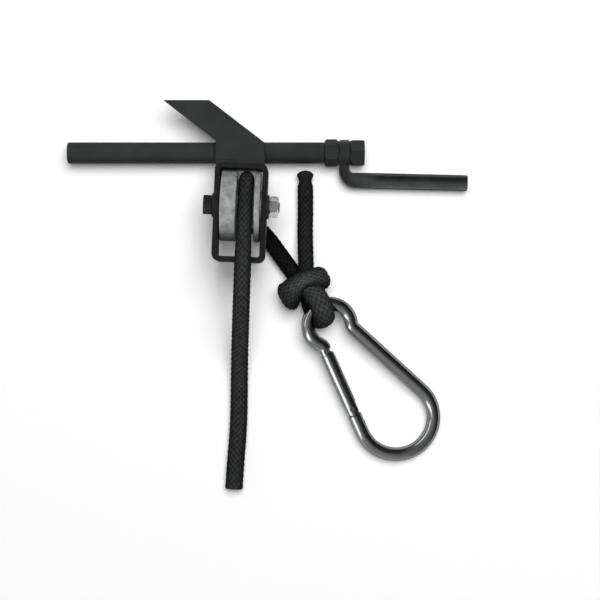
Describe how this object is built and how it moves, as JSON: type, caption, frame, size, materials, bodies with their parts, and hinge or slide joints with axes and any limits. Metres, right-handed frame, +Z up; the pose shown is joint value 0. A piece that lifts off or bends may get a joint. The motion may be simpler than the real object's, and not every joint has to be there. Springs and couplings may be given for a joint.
{
  "type": "tree stand hoist",
  "caption": "Tubular hoist arm with a slanted brace plate, a strap bracket with a sheave, a rope that ends in a knotted loop with a spring snap hook, and a swivelling cranked side arm.",
  "frame": {"origin": "centre of the arm's open left end, on the arm's axis", "axes": "+X along the arm towards the swivel, +Y from the hook towards the brace tip, +Z up from the table"},
  "size_m": [0.2399, 0.2326, 0.0526],
  "materials": {
    "black_paint": "satin black enamel",
    "dull_black": "dull black paint",
    "black_oxide": "dull black oxide",
    "zinc_plate": "bright zinc plating",
    "plain_steel": "turned steel",
    "cast_grey": "dull cast grey",
    "bronze": "sintered bronze",
    "nylon": "natural nylon",
    "black_rope": "braided black polyester",
    "bright_zinc": "polished zinc plating"
  },
  "bodies": {
    "arm": {"arm_tube": "black_paint", "swivel_stud": "plain_steel", "stop_nut": "black_paint", "swivel_washers": "black_oxide", "lock_nut": "black_paint", "brace_plate": "black_paint", "pulley_bracket": "dull_black", "weld_beads": "black_paint", "axle_sleeve": "plain_steel", "thrust_washers": "nylon", "axle_washers": "black_oxide", "axle_bolt": "black_oxide", "axle_nut": "zinc_plate", "haul_rope": "black_rope", "rope_over_sheave": "black_rope", "lift_rope": "black_rope", "rope_knot": "black_rope", "rope_tail": "black_rope", "hook_loop": "black_rope"},
    "sheave": {"sheave": "cast_grey", "sheave_bush": "bronze"},
    "side_arm": {"side_arm": "black_paint"},
    "hook": {"hook_body": "bright_zinc", "gate_pin": "bright_zinc"},
    "gate": {"hook_gate": "bright_zinc", "catch_pin": "bright_zinc", "gate_plunger": "plain_steel", "gate_spring": "plain_steel"}
  },
  "joints": [
    {"name": "sheave_spin", "type": "hinge", "parent": "arm", "child": "sheave", "pos_m": [0.10441, -0.03306, 0.02204], "axis": [0.9992, -0.0401, 0], "continuous": true},
    {"name": "side_arm_swivel", "type": "hinge", "parent": "arm", "child": "side_arm", "pos_m": [0.1658, 0, 0], "axis": [1, 0, 0], "continuous": true},
    {"name": "hook_swing", "type": "hinge", "parent": "arm", "child": "hook", "pos_m": [0.14935, -0.09273, 0.00504], "axis": [0.8093, 0.5874, 0], "range_deg": [-80, 80]},
    {"name": "gate_open", "type": "hinge", "parent": "hook", "child": "gate", "pos_m": [0.17026, -0.15336, -0.00045], "axis": [-0.0524, 0.0722, -0.996], "range_deg": [0, 22], "stiffness_Nm_per_rad": 0.05, "springref_deg": -20.05}
  ]
}
